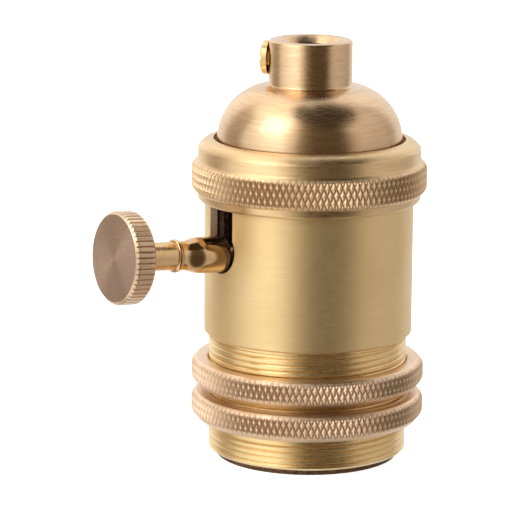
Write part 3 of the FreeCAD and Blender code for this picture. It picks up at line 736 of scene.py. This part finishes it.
def makeShadeRing(node, body, name):
    size = SimpleNamespace(**shadeRing)
    low, high = boxOf(node)
    bandLow = low.z + size.bandRise
    bandHigh = bandLow + size.bandLength
    bore, bevel = size.bore, size.topBevel
    outline = easeCorners([
        (size.edgeRadius, bandHigh), (size.edgeRadius - bevel, high.z), (bore + bevel, high.z),
        (bore, high.z - bevel), (bore, low.z + bevel), (bore + bevel, low.z),
        (size.edgeRadius - size.bevel, low.z), (size.edgeRadius, bandLow),
    ], size.edge)
    piece = joinClosed(name, [
        turnedFace("shadeRingFaces", outline, size.knurls * knurlSteps),
        knurledBand("shadeRingKnurl", size, bandLow, bandHigh, shadeRingBrass),
    ])
    finishPiece(piece, shadeRingBrass, body, [node])
    finishBand(piece, litShadeKnurlBrass, size, bandLow, bandHigh)


print("knurling the rings")
makeRetainer()
makeShadeRing("upper_shade_ring", "upper_ring", "upperShadeRing")
makeShadeRing("lower_shade_ring", "lower_ring", "lowerShadeRing")


# the cap: dome, threaded neck and flange

cap = dict(
    domeRadius=17.7, domeArc=10.6, domeWall=1.6, springLevel=61.5, flangeRadius=19.2, flangeTop=60.15,
    rimLevel=59.0, spigotLength=1.2, spigotRadius=18.3, ceilingThickness=2.46, neckRadius=7.95,
    neckLength=8.6, neckFillet=0.5, neckBevel=0.3, bore=4.5, mouthRadius=5.83, threadPitch=1.0,
    threadDepth=0.5, threadFade=0.3, gripDrop=3.7, gripAngle=45.0, gripHole=2.07, earthY=8.0, earthHole=1.57,
    earthDepth=1.8, boreMargin=0.3, boreRise=0.1, edge=0.06, columns=192, stepsPerTurn=8, domeSteps=26,
    hollowSteps=16, filletSteps=6
)


def gripDirection():
    angle = math.radians(cap["gripAngle"])
    return Vector((-math.sin(angle), -math.cos(angle), 0))


def makeCap():
    size = SimpleNamespace(**cap)
    top = boxOf("cap_dome")[1].z
    root = top - size.neckLength
    ceiling = root - size.ceilingThickness
    arcX = size.domeRadius - size.domeArc
    spring, outer = size.springLevel, size.domeArc
    inner = outer - size.domeWall
    fillet = size.neckFillet
    outerAngle = math.degrees(math.acos((size.neckRadius + fillet - arcX) / outer))
    innerAngle = math.degrees(math.asin((ceiling - spring) / inner))
    mouthLow = top - (size.mouthRadius - size.bore)
    dome = arcPoints(arcX, spring, outer, 0, outerAngle, size.domeSteps)
    rounding = arcPoints(size.neckRadius + fillet, root + fillet, fillet, 270, 180, size.filletSteps)[1:]
    hollow = arcPoints(arcX, spring, inner, innerAngle, 0, size.hollowSteps)
    outside = easeCorners([
        (size.bore, mouthLow), (size.mouthRadius, top), (size.neckRadius - size.neckBevel, top),
        (size.neckRadius, top - size.neckBevel), *rounding[::-1], *dome[::-1],
        (size.domeRadius, size.flangeTop), (size.flangeRadius, size.flangeTop),
        (size.flangeRadius, size.rimLevel), (size.spigotRadius, size.rimLevel),
        (size.spigotRadius, size.rimLevel - size.spigotLength),
        (size.domeRadius - size.domeWall, size.rimLevel - size.spigotLength),
        *hollow[::-1], (size.bore, ceiling),
    ], size.edge)
    piece = joinClosed("turnedCap", [
        turnedFace("capFaces", outside, size.columns),
        threadedFace("neckThread", size.bore, -size.threadDepth, ceiling, mouthLow,
                     size.threadPitch, size.threadFade, size, capBrass),
    ])
    level = Vector((0, 0, top - size.gripDrop))
    cutAway(piece, [
        rod("gripHole", size.gripHole, level, level + gripDirection() * size.neckRadius * 2),
        rod("earthHole", size.earthHole, (0, size.earthY, ceiling - overshoot),
            (0, size.earthY, ceiling + size.earthDepth)),
    ])
    finishPiece(piece, capBrass, "holder", ["cap_dome"])

    def inBore(spot, normal):
        return math.hypot(spot.x, spot.y) < size.bore + size.boreMargin and spot.z > ceiling + size.boreRise

    # the bore's faces take the darker brass, which is painted shade
    paintWhere(piece, shadedBoreBrass, inBore)


print("turning the cap")
makeCap()


# slotted screws, with real threads on their shanks

screwSizes = {
    "grip": dict(shank=2.0, length=3.22, head=3.25, height=1.9, pitch=0.7),
    "terminal": dict(shank=1.5, length=4.8, head=2.9, height=1.8, pitch=0.5),
    "earth": dict(shank=1.5, length=2.3, head=2.5, height=1.8, pitch=0.5),
    "housing": dict(shank=1.4, length=28.8, head=2.5, height=1.8, pitch=0.5),
}
screwForm = dict(
    crownShare=0.45, crownSteps=10, threadDepth=0.16, plainLength=0.3, tipBevel=0.3, edge=0.07, slotWidth=0.9,
    slotDepth=0.9, slotReach=1.2, gripGap=0.05, columns=64, stepsPerTurn=6
)


def screwBody(name, kind, place, material):
    # along +Z with the head standing on Z = 0, then carried to its place
    size, form = SimpleNamespace(**screwSizes[kind]), SimpleNamespace(**screwForm)
    crown = size.height * form.crownShare
    ball = (size.head ** 2 + crown ** 2) / (2 * crown)
    half = math.degrees(math.asin(size.head / ball))
    top = arcPoints(0, size.height - ball, ball, 90 - half, 90, form.crownSteps)
    threadLow, threadHigh = form.tipBevel - size.length, -form.plainLength
    head = easeCorners([(size.shank, threadHigh), (size.shank, 0), (size.head, 0), *top], form.edge)
    tip = [(0, -size.length), (size.shank - form.tipBevel, -size.length), (size.shank, threadLow)]
    piece = joinClosed(name, [
        turnedFace("screwHead", head, form.columns), turnedFace("screwTip", tip, form.columns),
        threadedFace("screwThread", size.shank, form.threadDepth, threadLow, threadHigh,
                     size.pitch, size.pitch / 2, form, material),
    ])
    wide, reach = form.slotWidth / 2, size.head * form.slotReach
    plan = ((-reach, -wide), (reach, -wide), (reach, wide), (-reach, wide))
    corners = [(x, y, z) for z in (size.height - form.slotDepth, size.height + overshoot) for x, y in plan]
    sides = [(0, 1, 2, 3), (7, 6, 5, 4), (0, 4, 5, 1), (1, 5, 6, 2), (2, 6, 7, 3), (3, 7, 4, 0)]
    cutAway(piece, [joinClosed("slot", [addMesh("slot", corners, sides)])])
    piece.data.transform(place)
    return piece


def screwMetal(name, look, base, way):
    return turnedMetal(name, look, Vector(base) * mm, way)


def makeScrews():
    way = gripDirection()
    gripBase = way * (cap["neckRadius"] + screwForm["gripGap"])
    gripBase.z = boxOf("cap_dome")[1].z - cap["gripDrop"]
    gripBrass = screwMetal("gripBrass", screwLook, gripBase, way)
    piece = screwBody("gripScrew", "grip", aimed(gripBase, way), gripBrass)
    finishPiece(piece, gripBrass, "holder", ["grip_screw"])
    for side, word, look, slotName in (
        (-1, "live", screwLook, "bright_brass"), (1, "neutral", dict(screwLook, **steelLook), "plated_steel"),
    ):
        node = word + "_terminal_screw"
        low, high = boxOf(node)
        seat = (high.x if side > 0 else low.x) - side * screwSizes["terminal"]["height"]
        base = (seat, 0, (low.z + high.z) / 2)
        metal = screwMetal(word + "ScrewMetal", look, base, (side, 0, 0))
        piece = screwBody(word + "Screw", "terminal", aimed(base, (side, 0, 0)), metal)
        finishPiece(piece, metal, "holder", [node])
    low, high = boxOf("earth_screw")
    base = ((low.x + high.x) / 2, (low.y + high.y) / 2, low.z + screwSizes["earth"]["height"])
    piece = screwBody("earthScrew", "earth", aimed(base, (0, 0, -1)), platedSteel)
    finishPiece(piece, platedSteel, "holder", ["earth_screw"])
    low, high = boxOf("housing_screws")
    headLow, inset = high.z - screwSizes["housing"]["height"], screwSizes["housing"]["head"]
    places = [(high.x - inset, high.y - inset, headLow), (low.x + inset, low.y + inset, headLow)]
    pair = [screwBody("housingScrew", "housing", aimed(base, (0, 0, 1)), platedSteel) for base in places]
    piece = joinClosed("housingScrews", pair)
    finishPiece(piece, platedSteel, "holder", ["housing_screws"])


print("cutting the screws")
makeScrews()


# the switch knob, turned in the spindle's own frame

knob = dict(
    start=19.4, barrelRadius=3.45, barrelLength=5.3, barrelBevel=0.25, waistRadius=2.75, flareLength=3.9,
    beadRadius=3.2, beadThickness=1.1, beadGap=0.75, stemRadius=2.7, stemLength=8.09, discRadius=8.72,
    discThickness=4.3, discEdge=8.15, teeth=52, toothDepth=0.36, land=0.68, socketRadius=1.55,
    socketDepth=10.7, edge=0.07, stepsPerTooth=8, flareSteps=12, beadSteps=12, toothRows=18,
    faceRings=(1, 0.66, 0.33, 0), faceRise=1.0, faceFacing=0.99, stemMargin=0.01
)
tilt = math.radians(sleeve["spindleTilt"])
spindleWay = Vector((0, -math.cos(tilt), math.sin(tilt)))
spindleBase = Vector((0, 0, sleeve["spindleHeight"]))
spindlePlace = aimed(spindleBase, spindleWay)


def makeKnob():
    size = SimpleNamespace(**knob)
    flareLow = size.start + size.barrelLength
    flareHigh = flareLow + size.flareLength
    beadLow = flareHigh + size.beadGap
    beadHigh = beadLow + size.beadThickness
    discLow = beadHigh + size.stemLength
    discHigh = discLow + size.discThickness
    flare = []
    for i in range(1, size.flareSteps + 1):
        share = i / size.flareSteps
        ease = share * share * (3 - 2 * share)
        radius = size.barrelRadius + (size.waistRadius - size.barrelRadius) * ease
        flare.append((radius, flareLow + size.flareLength * share))
    half = size.beadThickness / 2
    rise = size.beadRadius - size.waistRadius
    ball = (half ** 2 + rise ** 2) / (2 * rise)
    wide = math.degrees(math.asin(half / ball))
    bead = arcPoints(size.beadRadius - ball, beadLow + half, ball, -wide, wide, size.beadSteps)
    socketEnd = size.start + size.socketDepth
    outline = easeCorners([
        (0, socketEnd), (size.socketRadius, socketEnd), (size.socketRadius, size.start),
        (size.barrelRadius - size.barrelBevel, size.start),
        (size.barrelRadius, size.start + size.barrelBevel),
        (size.barrelRadius, flareLow), *flare, *bead, (size.stemRadius, beadHigh),
        (size.stemRadius, discLow), (size.discEdge, discLow),
    ], size.edge)
    face = [(size.discEdge * share, discHigh) for share in size.faceRings]
    columns = size.teeth * size.stepsPerTooth
    place = (spindleBase * mm, spindleWay)
    knobBrass = turnedMetal("knobBrass", knobLook, *place)
    shadedFaceBrass = turnedMetal("shadedFaceBrass", shadedFaceLook, *place)
    stemBrass = turnedMetal("stemBrass", stemLook, *place)
    piece = joinClosed("toothedKnob", [
        turnedFace("knobFaces", outline, columns), turnedFace("knobFront", face, columns),
        grow("knobTeeth", toothing, {
            "Radius": size.discRadius, "Depth": size.toothDepth, "Low": discLow, "High": discHigh,
            "Edge": size.discEdge, "Land": size.land, "Count": size.teeth, "Rows": size.toothRows,
            "Columns": columns,
        }, knobBrass),
    ], spindlePlace)
    finishPiece(piece, knobBrass, "knob", ["switch_knob"])

    def onStem(spot, normal):
        return (spot - spindleBase).dot(spindleWay) < discLow - size.stemMargin

    def onFace(spot, normal):
        outer = (spot - spindleBase).dot(spindleWay) > discLow + size.faceRise
        return outer and normal.dot(spindleWay) > size.faceFacing

    paintWhere(piece, stemBrass, onStem)
    # the front face takes the darker brass, which is painted shade
    paintWhere(piece, shadedFaceBrass, onFace)


print("turning the knob")
makeKnob()


# the bulb's screw shell, rolled from thin strip

bulbShell = dict(
    threadRadius=12.25, threadDepth=-1.05, threadLow=4.4, threadHigh=18.9, pitch=3.63, fade=1.2, wall=0.4,
    neckRadius=11.9, neckLevel=19.6, mouthRadius=13.2, webHole=7.5, columns=128, stepsPerTurn=14, screwX=8.8,
    screwY=5.0, screwHole=1.5, land=0.0, rounded=1.0
)


def makeBulbShell():
    size = SimpleNamespace(**bulbShell)
    low, high = boxOf("screw_shell")
    wall, web = size.wall, high.z - size.wall
    lower = [(size.threadRadius, size.threadLow), (size.mouthRadius, low.z),
             (size.mouthRadius + wall, low.z), (size.threadRadius + wall, size.threadLow)]
    upper = [(size.threadRadius, size.threadHigh), (size.neckRadius, size.neckLevel), (size.neckRadius, web),
             (size.webHole, web), (size.webHole, high.z), (size.neckRadius + wall, high.z),
             (size.neckRadius + wall, size.neckLevel), (size.threadRadius + wall, size.threadHigh)]
    faces = [turnedFace("shellMouth", lower, size.columns), turnedFace("shellNeck", upper, size.columns)]
    for radius in (size.threadRadius, size.threadRadius + wall):
        faces.append(threadedFace("shellThread", radius, size.threadDepth, size.threadLow, size.threadHigh,
                                  size.pitch, size.fade, size, stripBrass, size.land, size.rounded))
    piece = joinClosed("rolledShell", faces)
    holes = []
    for side in (-1, 1):
        x, y = side * size.screwX, side * size.screwY
        holes.append(rod("screwHole", size.screwHole, (x, y, web - overshoot), (x, y, high.z + overshoot)))
    cutAway(piece, holes)
    finishPiece(piece, stripBrass, "holder", ["screw_shell"])


print("rolling the bulb's shell")
makeBulbShell()


# the pieces whose solids are right as they are

def makeSmoothPieces():
    for body, node, name, material, slotName in (
        ("holder", "insulating_liner", "liner", brownPhenolic, "brown_phenolic"),
        ("holder", "contact_base", "porcelainBase", whitePorcelain, "white_porcelain"),
        ("holder", "center_contact", "centreLeaf", stripBrass, "contact_brass"),
        ("holder", "center_rivet", "centreRivet", stripBrass, "contact_brass"),
        ("holder", "spindle_bush", "spindleBush", stripBrass, "contact_brass"),
        ("holder", "switch_housing", "switchCase", blackPhenolic, "black_phenolic"),
        ("knob", "switch_spindle", "spindle", platedSteel, "plated_steel"),
        ("knob", "spindle_clip", "spindleClip", platedSteel, "plated_steel"),
        ("knob", "switch_rotor", "rotor", blackPhenolic, "black_phenolic"),
        ("knob", "contact_blades", "contactBlades", stripBrass, "contact_brass"),
    ):
        finishPiece(smoothCopy(node, name), material, body, [node])


def paintSolids():
    for node, material in (
        ("earth_tag", stripBrass), ("load_contact", stripBrass), ("housing_cover", blackPhenolic),
        ("live_terminal", stripBrass), ("neutral_terminal", stripBrass), ("detent_spring", platedSteel),
    ):
        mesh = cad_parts[node].data
        mesh.materials.clear()
        mesh.materials.append(material)


print("finishing the inner pieces")
makeSmoothPieces()
paintSolids()


# studio: pale floor, soft light round the holder and the camera

studio = dict(
    floorSize=3.0, floorColour=(0.9, 0.9, 0.9), floorGlow=0.8, backAzimuth=57.2, elevation=11.97,
    distance=600.0, lookHeight=40.0, roll=0.657, lens=212.18, shiftX=-0.0821, shiftY=-0.0297, lampAngle=-55.0,
    lampHeight=42.0, lampDistance=0.55, lampSize=0.28, lampPower=0.35, highGain=1.4, gainFrom=-0.2,
    gainFull=0.6, sensorWidth=36, clipStart=0.01, backdropFrom=160.0, backdropFull=168.0
)

# a lit panel high on the left and a dark one overhead
skyPatches = [
    dict(side=-100.0, lift=62.0, core=12.0, edge=28.0, colour=(1.25, 1.2, 1.08)),
    dict(side=50.0, lift=72.0, core=27.0, edge=33.0, colour=(0.035, 0.024, 0.014)),
]

# the light that comes from each side: degrees to the right of the camera, and its colour
roomLight = [
    (-180, (0.95, 0.91, 0.88)), (-165, (1.15, 1.08, 1.04)), (-140, (0.98, 0.94, 0.90)),
    (-120, (0.46, 0.40, 0.34)), (-100, (0.40, 0.34, 0.28)), (-88, (0.95, 0.93, 0.90)),
    (-70, (1.15, 1.13, 1.08)), (-54, (1.40, 1.38, 1.32)), (-36, (1.40, 1.38, 1.30)),
    (-24, (0.85, 0.78, 0.66)), (-10, (0.22, 0.17, 0.11)), (4, (0.10, 0.07, 0.045)),
    (42, (0.09, 0.065, 0.04)), (66, (0.64, 0.58, 0.52)), (105, (0.58, 0.54, 0.50)),
    (124, (0.48, 0.44, 0.42)), (142, (0.86, 0.84, 0.82)), (180, (0.95, 0.91, 0.88)),
]


def cameraAxes():
    around, up = math.radians(studio["backAzimuth"]), math.radians(studio["elevation"])
    back = Vector((math.sin(around) * math.cos(up), -math.cos(around) * math.cos(up), math.sin(up)))
    right = Vector((math.cos(around), math.sin(around), 0))
    return right, back.cross(right), back


def studioWay(side, lift):
    # a direction by its angle to the right of the camera and its height over the horizon
    right, _, back = cameraAxes()
    flatBack = Vector((back.x, back.y, 0)).normalized()
    side, lift = math.radians(side), math.radians(lift)
    level = flatBack * math.cos(side) + right * math.sin(side)
    return level * math.cos(lift) + Vector((0, 0, math.sin(lift)))


def makeCamera():
    right, up, back = cameraAxes()
    roll = math.radians(studio["roll"])
    tiltedRight = right * math.cos(roll) + up * math.sin(roll)
    tiltedUp = up * math.cos(roll) - right * math.sin(roll)
    place = (Vector((0, 0, studio["lookHeight"])) + back * studio["distance"]) * mm
    data = bpy.data.cameras.new("camera")
    data.lens = studio["lens"]
    data.sensor_width = studio["sensorWidth"]
    data.sensor_fit = "HORIZONTAL"
    data.shift_x = studio["shiftX"]
    data.shift_y = studio["shiftY"]
    data.clip_start = studio["clipStart"]
    camera = bpy.data.objects.new("camera", data)
    camera.matrix_world = Matrix((
        (tiltedRight.x, tiltedUp.x, back.x, place.x), (tiltedRight.y, tiltedUp.y, back.y, place.y),
        (tiltedRight.z, tiltedUp.z, back.z, place.z), (0, 0, 0, 1),
    ))
    scene.collection.objects.link(camera)
    scene.camera = camera


def makeRoom():
    world = bpy.data.worlds.new("room")
    scene.world = world
    world.use_nodes = True
    tree = world.node_tree
    coords = tree.nodes.new("ShaderNodeTexCoord").outputs["Generated"]
    x, y, z = splitVector(coords)
    back = cameraAxes()[2]
    start = math.atan2(back.y, back.x) / turn
    around = divide(calc("ARCTAN2", y, x), turn)
    share = calc("FLOORED_MODULO", plus(around, 0.5 - start), 1)
    ramp = addNode(tree, "ShaderNodeValToRGB", {0: share})
    ramp.color_ramp.interpolation = "EASE"
    stops = ramp.color_ramp.elements
    stops.remove(stops[1])
    stops[0].position = 0
    stops[0].color = (*roomLight[0][1], 1)
    for angle, colour in roomLight[1:]:
        stops.new(angle / 360 + 0.5).color = (*colour, 1)
    light = ramp.outputs[0]
    for patch in skyPatches:
        toward = vectorCalc("DOT_PRODUCT", tree, coords, studioWay(patch["side"], patch["lift"]), "Value")
        edge, core = [math.cos(math.radians(patch[key])) for key in ("edge", "core")]
        light = blendColours(mapRange(toward, edge, core, way="SMOOTHSTEP"), light, patch["colour"])
    gain = mapRange(z, studio["gainFrom"], studio["gainFull"], 1, studio["highGain"])
    # white to the camera, and white behind the holder to what its metal reflects
    rays = tree.nodes.new("ShaderNodeLightPath").outputs
    offFront = calc("ABSOLUTE", minus(share, 0.5))
    behind = mapRange(offFront, studio["backdropFrom"] / 360, studio["backdropFull"] / 360)
    mirrored = most(rays["Is Glossy Ray"], rays["Is Transmission Ray"])
    white = most(rays["Is Camera Ray"], times(mirrored, behind))
    extra = times(minus(gain, 1), minus(1, white))
    feedAll(tree.nodes["Background"], {
        "Color": blendColours(white, light, (1, 1, 1)), "Strength": plus(extra, 1)})


def makeFloor():
    half = studio["floorSize"] / 2 / mm
    corners = [(-half, -half, 0), (half, -half, 0), (half, half, 0), (-half, half, 0)]
    floor = addMesh("floor", corners, [(0, 1, 2, 3)])
    material = bpy.data.materials.new("paleFloor")
    material.use_nodes = True
    tree = material.node_tree
    shader = tree.nodes["Principled BSDF"]
    rays = tree.nodes.new("ShaderNodeLightPath").outputs
    seen = most(rays["Is Camera Ray"], rays["Is Transmission Ray"])
    feedAll(shader, {
        "Base Color": (*studio["floorColour"], 1), "Roughness": 1, "Emission Color": (1, 1, 1, 1),
        "Emission Strength": times(seen, studio["floorGlow"]),
    })
    floor.data.materials.append(material)
    floor.visible_glossy = False  # the brass shows the room's own light from below, as it does from above


def makeLamp():
    way = studioWay(studio["lampAngle"], studio["lampHeight"])
    data = bpy.data.lights.new("softLamp", "AREA")
    data.size = studio["lampSize"]
    data.energy = studio["lampPower"]
    lamp = bpy.data.objects.new("softLamp", data)
    lamp.location = way * studio["lampDistance"] + Vector((0, 0, studio["lookHeight"] * mm))
    lamp.rotation_euler = way.to_track_quat("Z", "Y").to_euler()
    scene.collection.objects.link(lamp)


print("setting the studio")
makeCamera()
makeRoom()
makeFloor()
makeLamp()
